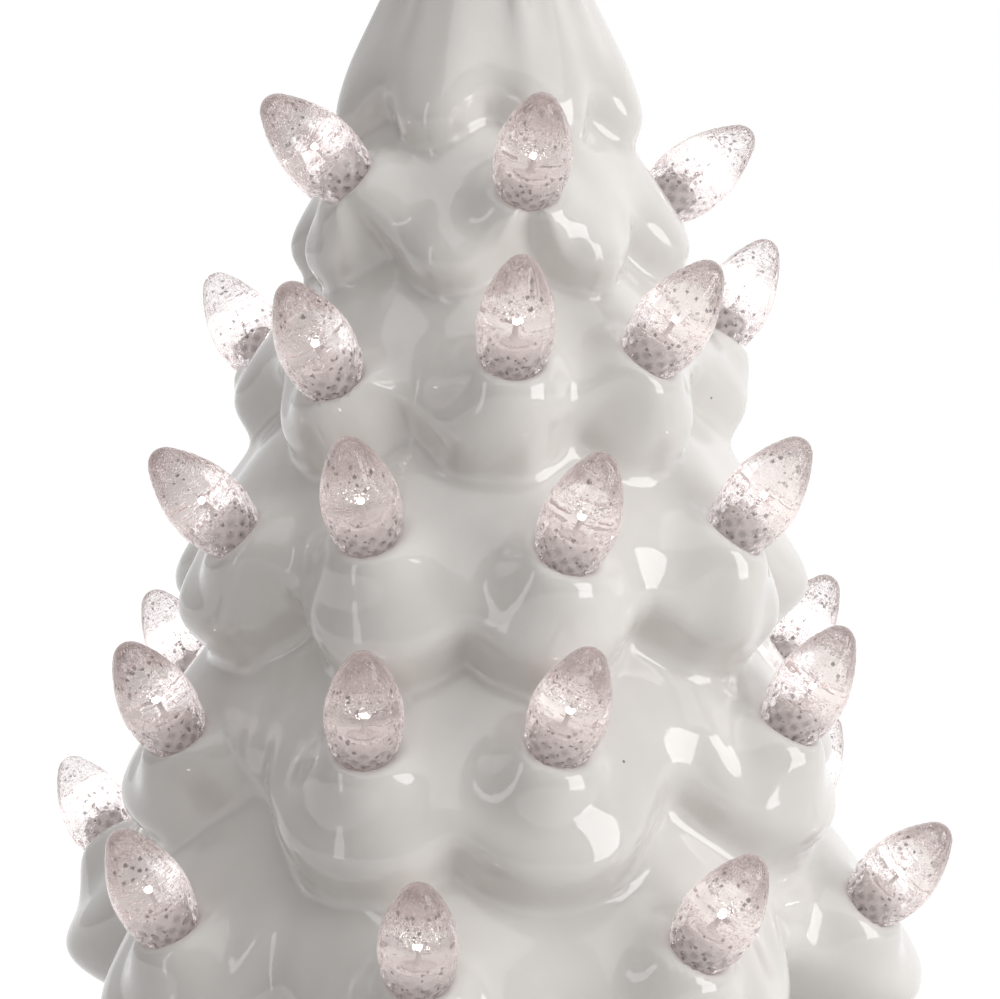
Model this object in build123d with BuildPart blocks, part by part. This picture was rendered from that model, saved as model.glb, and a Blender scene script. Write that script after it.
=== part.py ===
from build123d import *
import os
from itertools import accumulate
from math import cos, exp, log, radians, sin

os.makedirs("parts", exist_ok=True)

# Glazed ceramic Christmas tree with clear light-up bulbs, on a battery base.
# Millimetres, +Z up, front at -Y. The origin is on the table, under the tree's axis.
# Azimuths are in degrees, 0 at the front and growing to the right (+X).

# Glazed tree: six tiers of drooping boughs, named from the bottom up
body_height = 343.0
first_tier_radius = 127.0
second_tier_radius = 108.0
third_tier_radius = 94.0
fourth_tier_radius = 76.0
fifth_tier_radius = 57.0
crown_tier_radius = 43.5
crown_sweep = 57.0
skirt_radius = 72.0
first_tier_rise = 12.0
second_tier_step = 54.0
third_tier_step = 54.5
fourth_tier_step = 52.0
fifth_tier_step = 45.5
crown_tier_step = 37.5
lip_round = 5.0
crease_round = 3.2
shell_wall = 4.5
floor_wall = 6.0
crown_wall = 20.0
floor_opening_radius = 42.3
bough_half_angle = 20.0
bough_curve_power = 2.6
bough_flare_share = 0.80
crown_flare_share = 0.9
crown_draw_share = 105 / 76
bough_depth_share = 0.10
bough_droop_share = 0.17
bough_gap_share = 1.3
lip_roll_share = 3.2
levels_per_tier = 6
skin_points = 48
lining_points = 24
bough_azimuths = (
    (-98, -51, -9, 29, 77, 125, 172, 218),
    (-109, -72, -20, 10, 58, 111, 155, 205),
    (-143, -103, -62, -20, 12, 52, 98, 143, 182),
    (-106, -40, 2, 39, 103, 155, 205),
    (-100, -57, -12, 34, 85, 130, 172, 218),
    (-75, -25, 28, 80, 130, 180, 232),
)

# Bulb sockets: (azimuth, share of the way up to the next tier, turn away from straight out,
# tilt above level) of each bulb, per row
socket_row_shares = (
    ((-102, 0.52, -36, 40), (-48, 0.56, -9, 62), (-9, 0.53, 11, 61), (28, 0.58, 29, 57),
     (68, 0.53, -7, 48), (125, 0.52, 5, 55), (172, 0.52, 0, 57), (218, 0.52, 0, 56)),
    ((-120, 0.33, -2, 52), (-60, 0.42, 9, 58), (-20, 0.53, 22, 60), (10, 0.55, 25, 60),
     (56, 0.485, 13, 61), (119, 0.42, -10, 55), (155, 0.46, -5, 56), (205, 0.46, 5, 56)),
    ((-140, 0.48, 0, 54), (-53, 0.485, -14, 46), (-22, 0.54, 4, 58), (13, 0.46, 24, 60),
     (50, 0.485, 24, 54), (140, 0.48, 0, 54), (181, 0.48, 5, 56)),
    ((-117, 0.27, -10, 48), (-33, 0.34, -6, 55), (5, 0.47, 5, 60), (36, 0.47, 24, 52),
     (110, 0.44, 2, 57), (155, 0.42, 0, 54), (205, 0.42, 0, 54)),
    ((-46, 0.61, -18, 42), (12, 0.55, -1, 49), (108, 0.41, -13, 38), (160, 0.50, 0, 44),
     (235, 0.50, 0, 44)),
)

# Clear egg-shaped bulb, its neck in a socket
bulb_length = 36.0
bulb_radius = 11.1
neck_radius = 7.0
neck_depth = 8.0
neck_bore_radius = 4.9
socket_clearance = 0.3
socket_depth = 33.0
bulb_seat_rise = 4.0
bulb_level_shares = (0.0, 0.08, 0.20, 0.37, 0.56, 0.76, 0.91, 1.0)
bulb_width_shares = (0.62, 0.83, 0.95, 1.0, 0.92, 0.70, 0.44, 0.0)

# Lamp in each bulb: holder plug, light and lead
plug_reach = 21.0
plug_clearance = 0.3
led_seat_height = 9.0
led_radius = 2.5
led_length = 8.6
led_tip_share = 0.72
led_tip_taper = 28.0
lamp_sides = 8
lead_radius = 0.7
lead_sides = 6
trunk_cable_radius = 4.0
wire_gap = 0.3

# Star topper
star_radius = 25.0
star_notch_share = 0.45
star_thickness = 15.0
star_points = 5
star_collar_radius = 7.5
star_collar_height = 3.0
stem_radius = 4.2
stem_length = 9.5
stem_bore_radius = 3.0
stem_clearance = 0.3

# Glazed base with a foot and a round trunk
pad_height = 1.5
pad_radius = 7.0
pad_count = 4
base_height = 40.0
foot_radius = 76.0
foot_height = 7.0
foot_waist_radius = 60.0
foot_waist_height = 15.0
trunk_radius = 53.0
spigot_height = 8.0
spigot_clearance = 0.3
recess_radius = 46.0
recess_depth = 28.0
trunk_bore_radius = 35.0
pad_ring_radius = 61.0

# Battery housing under the base
housing_clearance = 0.4
plate_sunk = 1.0
plate_thickness = 2.4
housing_wall = 1.8
cell_radius = 7.15
cell_length = 50.2
cell_nub_radius = 2.7
cell_nub_length = 1.2
cell_pitch = 15.0
cell_count = 3
cell_clearance = 0.4
spring_room = 5.6
contact_thickness = 0.6
contact_width = 8.0
contact_height = 8.0
contact_gap = 0.3

# Battery door and its hinge
door_thickness = 2.0
door_sunk = 0.2
door_clearance = 0.6
door_rib_width = 1.6
knuckle_radius = 1.9
knuckle_clearance = 0.5
pin_radius = 0.6
pin_clearance = 0.3
pin_bite = 1.2
thumb_notch_radius = 5.0
thumb_notch_depth = 0.8

# Slide switch and circuit board
switch_length = 13.0
switch_width = 6.0
switch_height = 5.5
knob_length = 3.6
knob_width = 3.0
knob_depth = 2.2
knob_show = 0.8
knob_clearance = 0.3
knob_travel = 2.5
board_length = 40.0
board_width = 30.0
board_thickness = 1.6
chip_size = 8.0
chip_height = 1.6

cut_overrun = 2.0

# Worked-out places
base_bottom = pad_height
shoulder_level = base_bottom + base_height
crown_level = shoulder_level + body_height
tier_radii = (first_tier_radius, second_tier_radius, third_tier_radius, fourth_tier_radius,
              fifth_tier_radius, crown_tier_radius)
tier_steps = (first_tier_rise, second_tier_step, third_tier_step, fourth_tier_step,
              fifth_tier_step, crown_tier_step)
tier_levels = [shoulder_level + rise for rise in accumulate(tier_steps)]
tier_tops = tier_levels[1:] + [crown_level]
crown_rise = crown_level - tier_levels[-1]
tier_flares = [bough_flare_share] * len(socket_row_shares) + [crown_flare_share]


def soft_ramp(value, softness):
    """Zero below zero, the value above it, with a rounded bend between."""
    return softness * log(1 + exp(min(value / softness, len(bough_azimuths) ** 2)))


def lip_loss(tier):
    """How much the rounded lip would take off a tier's radius at the widest place of a bough."""
    flare = tier_flares[tier]
    widest = lip_round * log(flare / (lip_roll_share - flare))
    return lip_roll_share * soft_ramp(widest, lip_round) - flare * widest


def flank_reach(tier, below_tip):
    """Distance from the axis to a tier's flank: straight, but for the hollow sweep of the crown."""
    radius = tier_radii[tier]
    if tier < len(socket_row_shares) or below_tip > 0:
        return radius + tier_flares[tier] * below_tip
    return radius - crown_sweep * (1 - exp(below_tip * crown_draw_share / crown_rise))


def bough_reach(tier, offset, level):
    """Distance from the axis to one bough's skin, offset degrees from its ridge."""
    radius = tier_radii[tier]
    spread = abs(offset / bough_half_angle) ** bough_curve_power
    spread = bough_gap_share * (1 - exp(-spread / bough_gap_share))
    below_tip = tier_levels[tier] - level
    below_lip = below_tip + bough_droop_share * radius * spread
    slope = flank_reach(tier, below_tip) - bough_depth_share * radius * spread
    return slope + lip_loss(tier) - lip_roll_share * soft_ramp(below_lip, lip_round)


def skin_reach(azimuth, level):
    """Distance from the axis to the glazed skin: the boughs and the skirt, blended at their creases."""
    reaches = [skirt_radius - bough_flare_share * (level - shoulder_level)]
    for tier, azimuths in enumerate(bough_azimuths):
        for ridge in azimuths:
            offset = (azimuth - ridge + 180) % 360 - 180
            reaches.append(bough_reach(tier, offset, level))
    widest = max(reaches)
    return widest + crease_round * log(sum(exp((reach - widest) / crease_round) for reach in reaches))


def lining_reach(azimuth, level, half_turn, half_rise):
    """Distance from the axis to the inside of the shell, a wall behind the nearest skin."""
    steps = (-1, -0.5, 0, 0.5, 1)
    nearest = min(skin_reach(azimuth + turn * half_turn, level + rise * half_rise)
                  for turn in steps for rise in steps)
    return nearest - shell_wall


def round_points(count, reach):
    """Points of a closed outline round the axis, reach being a function of the azimuth."""
    points = []
    for step in range(count):
        azimuth = 360 * step / count
        distance = reach(azimuth)
        points.append((distance * sin(radians(azimuth)), -distance * cos(radians(azimuth))))
    return points


# Section levels of the tree: even steps within each tier
skin_levels = [shoulder_level, (shoulder_level + tier_levels[0]) / 2]
for tier_level, tier_top in zip(tier_levels, tier_tops):
    for step in range(levels_per_tier):
        skin_levels.append(tier_level + (tier_top - tier_level) * step / levels_per_tier)
skin_levels.append(crown_level)

lining_floor = shoulder_level + floor_wall
lining_top = crown_level - crown_wall
lining_levels = [lining_floor]
lining_levels += [level for level in skin_levels[::2]
                  if lining_floor + shell_wall < level < lining_top - shell_wall]
lining_levels.append(lining_top)
lining_half_turn = 180 / lining_points
lining_half_rise = (lining_top - lining_floor) / len(lining_levels) / 2


# A socket's plane is where its bulb widens, just off the skin, with its Z axis along the bulb
socket_planes = []
for row, sockets in enumerate(socket_row_shares):
    planes = []
    for azimuth, rise_share, turn, tilt in sockets:
        level = tier_levels[row] + rise_share * (tier_tops[row] - tier_levels[row])
        reach = skin_reach(azimuth, level)
        foot = Vector(reach * sin(radians(azimuth)), -reach * cos(radians(azimuth)), level)
        heading = radians(azimuth + turn)
        lift = radians(tilt)
        outward = Vector(sin(heading) * cos(lift), -cos(heading) * cos(lift), sin(lift))
        planes.append(Plane(origin=foot + outward * bulb_seat_rise,
                            x_dir=(cos(heading), sin(heading), 0), z_dir=outward))
    socket_planes.append(planes)
socket_places = [plane.location for planes in socket_planes for plane in planes]
socket_radius = neck_radius + socket_clearance
star_socket_radius = stem_radius + stem_clearance


# Tree shell: boughs lofted section by section, hollow, open below, with a socket for each bulb
with BuildPart() as lining:
    for level in lining_levels:
        with BuildSketch(Plane.XY.offset(level)):
            with BuildLine():
                Polyline(*round_points(lining_points, lambda azimuth: lining_reach(
                    azimuth, level, lining_half_turn, lining_half_rise)), close=True)
            make_face()
    loft(ruled=True)

with BuildPart() as drill:
    with BuildSketch(Plane.XY.offset(-socket_depth)):
        Circle(socket_radius)
    extrude(amount=socket_depth + cut_overrun)

with BuildPart() as tree_body:
    for level in skin_levels:
        with BuildSketch(Plane.XY.offset(level)):
            with BuildLine():
                Spline(*round_points(skin_points, lambda azimuth: skin_reach(azimuth, level)),
                       periodic=True)
            make_face()
    loft(ruled=True)
    add(lining.part, mode=Mode.SUBTRACT)
    with Locations(*socket_places):
        add(drill.part, mode=Mode.SUBTRACT)
    with BuildSketch(Plane.XY.offset(lining_top - cut_overrun)):
        Circle(star_socket_radius)
    extrude(amount=crown_wall + cut_overrun * 2, mode=Mode.SUBTRACT)
    with BuildSketch(Plane.XY.offset(shoulder_level - cut_overrun)):
        Circle(floor_opening_radius)
    extrude(amount=floor_wall + cut_overrun * 2, mode=Mode.SUBTRACT)
tree_body.part.label = "tree_body"
export_step(tree_body.part, "parts/tree_body.step")


# Base: turned foot and trunk, with a spigot in the tree's opening and a recess below
with BuildPart() as base:
    with BuildSketch(Plane.XZ):
        with BuildLine():
            Polyline(
                (recess_radius, base_bottom),
                (foot_radius, base_bottom),
                (foot_radius, base_bottom + foot_height),
                (foot_waist_radius, base_bottom + foot_waist_height),
                (trunk_radius, shoulder_level),
                (floor_opening_radius - spigot_clearance, shoulder_level),
                (floor_opening_radius - spigot_clearance, shoulder_level + spigot_height),
                (trunk_bore_radius, shoulder_level + spigot_height),
                (trunk_bore_radius, base_bottom + recess_depth),
                (recess_radius, base_bottom + recess_depth),
                close=True,
            )
        make_face()
    revolve(axis=Axis.Z)
base.part.label = "base"
export_step(base.part, "parts/base.step")

with BuildPart() as foot_pads:
    with BuildSketch(Plane.XY):
        with PolarLocations(pad_ring_radius, pad_count, start_angle=180 / pad_count):
            Circle(pad_radius)
    extrude(amount=pad_height)
foot_pads.part.label = "foot_pads"
export_step(foot_pads.part, "parts/foot_pads.step")


# Bulb: egg-shaped shell turned in one piece with its neck, bored for its lamp
bulb_bore_top = led_seat_height + led_length + plug_clearance
bulb_outline = [(width_share * bulb_radius, level_share * bulb_length)
                for level_share, width_share in zip(bulb_level_shares, bulb_width_shares)]
with BuildPart() as bulb:
    with BuildSketch(Plane.XZ):
        with BuildLine():
            Spline(*bulb_outline, tangents=((1, 1), (-1, 0)))
            Polyline(
                bulb_outline[-1],
                (0, bulb_bore_top),
                (neck_bore_radius, bulb_bore_top),
                (neck_bore_radius, -neck_depth),
                (neck_radius, -neck_depth),
                (neck_radius, 0),
                bulb_outline[0],
            )
        make_face()
    revolve(axis=Axis.Z)

# Lamp: holder plug in the neck, with the light standing on it
with BuildPart() as lamp:
    with BuildSketch(Plane.XY.offset(-plug_reach)):
        RegularPolygon(neck_bore_radius - plug_clearance, lamp_sides)
    extrude(amount=plug_reach + led_seat_height)
with BuildPart() as led:
    with BuildSketch(Plane.XY.offset(led_seat_height)):
        RegularPolygon(led_radius, lamp_sides)
    extrude(amount=led_tip_share * led_length)
    with BuildSketch(Plane.XY.offset(led_seat_height + led_tip_share * led_length)):
        RegularPolygon(led_radius, lamp_sides)
    extrude(amount=(1 - led_tip_share) * led_length, taper=led_tip_taper)

# Rows of bulbs and lamps, and each lamp's lead, straight in to the cable on the axis
lead_drop = plug_reach + lead_radius + wire_gap
for row, planes in enumerate(socket_planes):
    row_name = str(row + 1)
    with BuildPart() as bulbs_row:
        for plane in planes:
            with Locations(plane.location):
                add(bulb.part)
    bulbs_row.part.label = "bulbs_row_" + row_name
    export_step(bulbs_row.part, "parts/bulbs_row_" + row_name + ".step")
    with BuildPart() as holders_row:
        for plane in planes:
            with Locations(plane.location):
                add(lamp.part)
    holders_row.part.label = "led_holders_row_" + row_name
    export_step(holders_row.part, "parts/led_holders_row_" + row_name + ".step")
    with BuildPart() as leds_row:
        for plane in planes:
            with Locations(plane.location):
                add(led.part)
    leds_row.part.label = "leds_row_" + row_name
    export_step(leds_row.part, "parts/leds_row_" + row_name + ".step")
    with BuildPart() as leads_row:
        for plane in planes:
            start = plane.origin - plane.z_dir * lead_drop
            inward = Vector(-start.X, -start.Y, 0)
            with BuildSketch(Plane(origin=start, x_dir=(0, 0, 1), z_dir=inward)):
                RegularPolygon(lead_radius, lead_sides)
            extrude(amount=inward.length - trunk_cable_radius - wire_gap)
    leads_row.part.label = "led_leads_row_" + row_name
    export_step(leads_row.part, "parts/led_leads_row_" + row_name + ".step")


# Star topper: faceted both sides, with a collar on the crown and a bored stem in its socket
star_centre = crown_level + star_collar_height + star_radius * cos(radians(180 / star_points))
star_face_plane = Plane(origin=(0, 0, star_centre), x_dir=(1, 0, 0), z_dir=(0, -1, 0))
star_outline = []
for step in range(star_points * 2):
    reach = star_radius * (star_notch_share if step % 2 else 1)
    angle = radians(90 + step * 180 / star_points)
    star_outline.append((reach * cos(angle), reach * sin(angle)))
with BuildPart() as star_topper:
    for side in (-1, 1):
        with BuildSketch(star_face_plane) as star_sketch:
            with BuildLine():
                Polyline(*star_outline, close=True)
            make_face()
        loft(sections=[star_sketch.sketch.faces()[0], Vertex(0, side * star_thickness / 2, star_centre)],
             ruled=True)
    with BuildSketch(Plane.XY.offset(crown_level)):
        Circle(star_collar_radius)
    extrude(amount=star_collar_height)
    with BuildSketch(Plane.XY.offset(crown_level - stem_length)):
        Circle(stem_radius)
    extrude(amount=stem_length + star_centre - crown_level - star_radius * star_notch_share / 2)
    with BuildSketch(Plane.XY.offset(crown_level - stem_length)):
        Circle(stem_bore_radius)
    extrude(amount=stem_length + star_collar_height, mode=Mode.SUBTRACT)
star_topper.part.label = "star_topper"
export_step(star_topper.part, "parts/star_topper.step")

# Lamp under the star: plug in the lower half of the socket, light inside the star's stem
star_led_seat = crown_level - stem_length - plug_clearance
star_plug_bottom = lining_top - cut_overrun
with BuildPart() as star_led_holder:
    with BuildSketch(Plane.XY.offset(star_plug_bottom)):
        RegularPolygon(star_socket_radius - plug_clearance, lamp_sides)
    extrude(amount=star_led_seat - star_plug_bottom)
star_led_holder.part.label = "star_led_holder"
export_step(star_led_holder.part, "parts/star_led_holder.step")

with BuildPart() as star_led:
    with Locations((0, 0, star_led_seat - led_seat_height)):
        add(led.part)
star_led.part.label = "star_led"
export_step(star_led.part, "parts/star_led.step")


# Battery housing: round plate in the recess, with a bay for the cells standing on it
plate_bottom = base_bottom + plate_sunk
plate_top = plate_bottom + plate_thickness
door_bottom = plate_bottom + door_sunk
door_top = door_bottom + door_thickness
hinge_level = door_bottom + knuckle_radius
cell_bottom = hinge_level + knuckle_radius + cell_clearance
cell_level = cell_bottom + cell_radius
bay_top = cell_level + cell_radius + cell_clearance
bay_width = cell_pitch * cell_count + cell_clearance * 2
bay_length = cell_length + spring_room + contact_thickness + contact_gap
hinge_place = -bay_length / 2 + knuckle_clearance + knuckle_radius
switch_place = (bay_width / 2 + housing_wall + recess_radius - housing_clearance) / 2
slot_width = knob_width + knob_clearance * 2
slot_length = knob_length + (knob_travel + knob_clearance) * 2

with BuildPart() as battery_housing:
    with BuildSketch(Plane.XY.offset(plate_bottom)):
        Circle(recess_radius - housing_clearance)
    extrude(amount=plate_thickness)
    with BuildSketch(Plane.XY.offset(plate_bottom)):
        Rectangle(bay_width + housing_wall * 2, bay_length + housing_wall * 2)
    extrude(amount=bay_top + housing_wall - plate_bottom)
    with BuildSketch(Plane.XY.offset(plate_bottom - cut_overrun)):
        Rectangle(bay_width, bay_length)
    extrude(amount=bay_top - plate_bottom + cut_overrun, mode=Mode.SUBTRACT)
    with BuildSketch(Plane.XY.offset(plate_bottom - cut_overrun)):
        with Locations((switch_place, 0)):
            Rectangle(slot_width, slot_length)
    extrude(amount=plate_thickness + cut_overrun * 2, mode=Mode.SUBTRACT)
    with BuildSketch(Plane.YZ.offset(-bay_width / 2 - pin_bite)):
        with Locations((hinge_place, hinge_level)):
            Circle(pin_radius)
    extrude(amount=bay_width + pin_bite * 2, mode=Mode.SUBTRACT)
battery_housing.part.label = "battery_housing"
export_step(battery_housing.part, "parts/battery_housing.step")

# Door: plate with a hinge knuckle, ribs that hold the cells and a thumb notch
door_width = bay_width - door_clearance * 2
door_end = bay_length / 2 - door_clearance
with BuildPart() as battery_door:
    with BuildSketch(Plane.XY.offset(door_bottom)):
        with Locations((0, (hinge_place + door_end) / 2)):
            Rectangle(door_width, door_end - hinge_place)
    extrude(amount=door_thickness)
    with BuildSketch(Plane.YZ.offset(-door_width / 2)):
        with Locations((hinge_place, hinge_level)):
            Circle(knuckle_radius)
    extrude(amount=door_width)
    with BuildSketch(Plane.XY.offset(door_top)):
        with GridLocations(cell_pitch, 0, cell_count, 1):
            Rectangle(door_rib_width, bay_length / 2)
    extrude(amount=cell_bottom - contact_gap - door_top)
    with BuildSketch(Plane.YZ.offset(-door_width / 2 - cut_overrun)):
        with Locations((hinge_place, hinge_level)):
            Circle(pin_radius + pin_clearance)
    extrude(amount=door_width + cut_overrun * 2, mode=Mode.SUBTRACT)
    with BuildSketch(Plane.XY.offset(door_bottom)):
        with Locations((0, door_end - thumb_notch_radius - door_thickness)):
            Circle(thumb_notch_radius)
    extrude(amount=thumb_notch_depth, mode=Mode.SUBTRACT)
battery_door.part.label = "battery_door"
export_step(battery_door.part, "parts/battery_door.step")

with BuildPart() as hinge_pin:
    with BuildSketch(Plane.YZ.offset(-bay_width / 2 - pin_bite)):
        with Locations((hinge_place, hinge_level)):
            Circle(pin_radius)
    extrude(amount=bay_width + pin_bite * 2)
hinge_pin.part.label = "hinge_pin"
export_step(hinge_pin.part, "parts/hinge_pin.step")

# Cells lie side by side, the middle one turned round, each between a plate and a sprung strip
cell_start = -bay_length / 2 + spring_room
spring_tip = cell_start - contact_gap
for index in range(cell_count):
    facing = 1 if index % 2 == 0 else -1
    place = (index - (cell_count - 1) / 2) * cell_pitch
    cell_name = str(index + 1)
    cell_plane = Plane(origin=(place, facing * cell_start, cell_level), x_dir=(1, 0, 0),
                       z_dir=(0, facing, 0))
    with BuildPart() as cell:
        with BuildSketch(cell_plane):
            Circle(cell_radius)
        extrude(amount=cell_length - cell_nub_length)
        with BuildSketch(cell_plane.offset(cell_length - cell_nub_length)):
            Circle(cell_nub_radius)
        extrude(amount=cell_nub_length)
    cell.part.label = "cell_" + cell_name
    export_step(cell.part, "parts/cell_" + cell_name + ".step")

with BuildPart() as cell_contacts:
    for index in range(cell_count):
        facing = 1 if index % 2 == 0 else -1
        place = (index - (cell_count - 1) / 2) * cell_pitch
        low = cell_level - contact_height / 2
        high = cell_level + contact_height / 2
        back = -bay_length / 2
        with BuildSketch(Plane.YZ.offset(place - contact_width / 2)):
            with Locations((facing * (bay_length - contact_thickness) / 2, cell_level)):
                Rectangle(contact_thickness, contact_height)
            with BuildLine():
                Polyline(
                    (facing * back, low),
                    (facing * back, high),
                    (facing * (back + contact_thickness), high),
                    (facing * spring_tip, cell_level),
                    (facing * (spring_tip - contact_thickness), cell_level - contact_thickness),
                    (facing * (back + contact_thickness), high - contact_thickness * 2),
                    (facing * (back + contact_thickness), low),
                    close=True,
                )
            make_face()
        extrude(amount=contact_width)
cell_contacts.part.label = "cell_contacts"
export_step(cell_contacts.part, "parts/cell_contacts.step")


# Slide switch over the plate's slot, its knob recessed above the table
knob_bottom = plate_bottom - knob_show
knob_top = plate_top + knob_depth
with BuildPart() as switch_body:
    with BuildSketch(Plane.XY.offset(plate_top)):
        with Locations((switch_place, 0)):
            Rectangle(switch_width, switch_length)
    extrude(amount=switch_height)
    with BuildSketch(Plane.XY.offset(plate_top)):
        with Locations((switch_place, 0)):
            Rectangle(slot_width, slot_length)
    extrude(amount=knob_depth + knob_clearance, mode=Mode.SUBTRACT)
switch_body.part.label = "switch_body"
export_step(switch_body.part, "parts/switch_body.step")

with BuildPart() as switch_knob:
    with BuildSketch(Plane.XY.offset(knob_bottom)):
        with Locations((switch_place, 0)):
            Rectangle(knob_width, knob_length)
    extrude(amount=knob_top - knob_bottom)
switch_knob.part.label = "switch_knob"
export_step(switch_knob.part, "parts/switch_knob.step")

# Circuit board on the housing's roof, and the cable up the middle to the star's lamp
board_bottom = bay_top + housing_wall
board_top = board_bottom + board_thickness
with BuildPart() as circuit_board:
    with BuildSketch(Plane.XY.offset(board_bottom)):
        Rectangle(board_width, board_length)
    extrude(amount=board_thickness)
    with BuildSketch(Plane.XY.offset(board_top)):
        with Locations((0, board_length / 2 - chip_size)):
            Rectangle(chip_size, chip_size)
    extrude(amount=chip_height)
circuit_board.part.label = "circuit_board"
export_step(circuit_board.part, "parts/circuit_board.step")

with BuildPart() as trunk_cable:
    with BuildSketch(Plane.XY.offset(board_top + wire_gap)):
        Circle(trunk_cable_radius)
    extrude(amount=star_plug_bottom - wire_gap - board_top - wire_gap)
trunk_cable.part.label = "trunk_cable"
export_step(trunk_cable.part, "parts/trunk_cable.step")
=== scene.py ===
import math

import bpy
import numpy as np
from mathutils import Matrix, Vector


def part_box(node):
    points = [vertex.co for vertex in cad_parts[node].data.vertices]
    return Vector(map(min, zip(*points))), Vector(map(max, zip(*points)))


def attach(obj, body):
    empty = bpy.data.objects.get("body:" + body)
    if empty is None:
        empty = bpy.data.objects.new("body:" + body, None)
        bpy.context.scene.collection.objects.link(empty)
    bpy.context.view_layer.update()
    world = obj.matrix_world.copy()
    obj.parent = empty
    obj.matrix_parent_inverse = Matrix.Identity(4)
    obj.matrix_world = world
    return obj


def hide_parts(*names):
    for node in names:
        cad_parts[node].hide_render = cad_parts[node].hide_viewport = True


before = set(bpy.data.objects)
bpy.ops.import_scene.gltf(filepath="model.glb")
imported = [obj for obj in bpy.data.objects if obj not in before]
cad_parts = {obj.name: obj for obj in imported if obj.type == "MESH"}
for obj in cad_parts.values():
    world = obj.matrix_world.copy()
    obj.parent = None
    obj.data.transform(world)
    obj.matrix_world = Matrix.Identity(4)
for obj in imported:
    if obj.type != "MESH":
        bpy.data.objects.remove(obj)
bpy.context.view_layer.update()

bl_info = {
    "name": "Glazed tree with lit bulbs",
    "version": (1, 0, 0),
    "blender": (4, 5, 0),
    "location": "3D View > Sidebar > Glazed tree",
    "description": "Models and finishes a glazed ceramic tabletop tree with clear light-up bulbs",
    "category": "Object",
}

# Sizes in millimetres, as in the part's source; a finished mesh is in metres.
MM = 0.001
SHOULDER = 41.5
CROWN = SHOULDER + 343.0
TIER_RADII = (127.0, 108.0, 94.0, 76.0, 57.0, 43.5)
TIER_LEVELS = [SHOULDER + rise for rise in (12.0, 66.0, 120.5, 172.5, 218.0, 255.5)]
TIER_TOPS = TIER_LEVELS[1:] + [CROWN]
TIER_FLARES = (0.80, 0.80, 0.80, 0.80, 0.80, 0.90)
CROWN_SWEEP = 57.0
SKIRT_RADIUS = 72.0
LIP_ROUND = 5.0
LIP_ROLL = 3.2
CREASE_ROUND = 3.2
BOUGH_HALF_ANGLE = 20.0
BOUGH_CURVE = 2.6
BOUGH_DEPTH = 0.10
BOUGH_DROOP = 0.17
BOUGH_GAP = 1.3
FLOOR_OPENING = 42.3
FLOOR_WALL = 6.0
SHELL_WALL = 4.5
CROWN_WALL = 20.0
CROWN_ROUND = 3.0
STAR_SOCKET = 4.5
SKIRT_INSET = 4.0
SKIRT_LIFT = 1.2
# The rounded top: share of the crown's radius, rise
CROWN_CURVE = ((0.96, 1.4), (0.88, 2.4), (0.76, 2.9), (0.6, 3.0))
# The inner wall keeps clear of the lowest skin within these turns in degrees and these rises
LINING_TURNS = (-8, 0, 8)
LINING_RISES = (-9, 0, 9)
SKIN_AROUND = 400
SKIN_UP = 216
LINING_UP = 26
# The creases of the lower tiers are softer than in the clay by this share, and the skin there sinks by
# the share times the second number
CREASE_SOFT = 0.7
CREASE_SINK = 0.6
# Steps between two points of a smooth outline
CURVE_STEPS = 5
BOUGH_AZIMUTHS = (
    (-98, -51, -9, 29, 77, 125, 172, 218),
    (-109, -72, -20, 10, 58, 111, 155, 205),
    (-143, -103, -62, -20, 12, 52, 98, 143, 182),
    (-106, -40, 2, 39, 103, 155, 205),
    (-100, -57, -12, 34, 85, 130, 172, 218),
    (-75, -25, 28, 80, 130, 180, 232),
)
# Sockets of each row: azimuth, share of the way up to the next tier, turn, tilt
SOCKET_ROWS = (
    ((-102, 0.52, -36, 40), (-48, 0.56, -9, 62), (-9, 0.53, 11, 61), (28, 0.58, 29, 57),
     (68, 0.53, -7, 48), (125, 0.52, 5, 55), (172, 0.52, 0, 57), (218, 0.52, 0, 56)),
    ((-120, 0.33, -2, 52), (-60, 0.42, 9, 58), (-20, 0.53, 22, 60), (10, 0.55, 25, 60),
     (56, 0.485, 13, 61), (119, 0.42, -10, 55), (155, 0.46, -5, 56), (205, 0.46, 5, 56)),
    ((-140, 0.48, 0, 54), (-53, 0.485, -14, 46), (-22, 0.54, 4, 58), (13, 0.46, 24, 60),
     (50, 0.485, 24, 54), (140, 0.48, 0, 54), (181, 0.48, 5, 56)),
    ((-117, 0.27, -10, 48), (-33, 0.34, -6, 55), (5, 0.47, 5, 60), (36, 0.47, 24, 52),
     (110, 0.44, 2, 57), (155, 0.42, 0, 54), (205, 0.42, 0, 54)),
    ((-46, 0.61, -18, 42), (12, 0.55, -1, 49), (108, 0.41, -13, 38), (160, 0.50, 0, 44),
     (235, 0.50, 0, 44)),
)
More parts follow.
